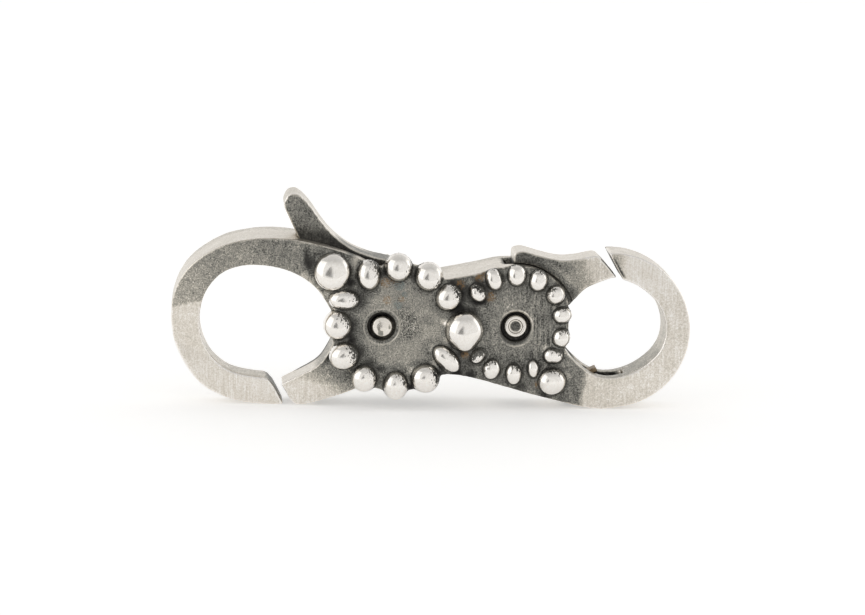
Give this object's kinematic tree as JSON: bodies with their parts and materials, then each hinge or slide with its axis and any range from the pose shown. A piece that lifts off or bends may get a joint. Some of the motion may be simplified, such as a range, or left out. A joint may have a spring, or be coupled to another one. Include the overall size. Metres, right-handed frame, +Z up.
{
  "type": "double-ended trigger clasp",
  "caption": "Double-ended trigger clasp with a larger and a smaller sprung hook, two round hinge discs, a thumb tab and soldered granules on its front.",
  "frame": {"origin": "on the surface that the clasp stands on, under the centre of its box", "axes": "+X along the clasp from the large hook to the small ring, +Y from the granulated front face to the back, +Z up"},
  "size_m": [0.032, 0.006, 0.0132],
  "materials": {
    "oxidised_silver": "oxidised silver, matte in the flats and polished on the high spots",
    "pin_silver": "worn bright silver",
    "spring_bronze": "tarnished brown"
  },
  "bodies": {
    "frame": {"body": "oxidised_silver", "large_pivot_pin": "pin_silver", "small_pivot_pin": "pin_silver", "small_gate_spring": "spring_bronze"},
    "large_gate": {"large_gate": "oxidised_silver"},
    "small_gate": {"small_gate": "oxidised_silver"}
  },
  "joints": [
    {"name": "large_gate_hinge", "type": "hinge", "parent": "frame", "child": "large_gate", "pos_m": [-0.00314, 0.00067, 0.00518], "axis": [0, 1, 0], "range_deg": [0, 30], "stiffness_Nm_per_rad": 0.01, "springref_deg": -20.05},
    {"name": "small_gate_hinge", "type": "hinge", "parent": "frame", "child": "small_gate", "pos_m": [0.00512, 0.00067, 0.0052], "axis": [0, 1, 0], "range_deg": [0, 30], "stiffness_Nm_per_rad": 0.01, "springref_deg": -20.05}
  ]
}
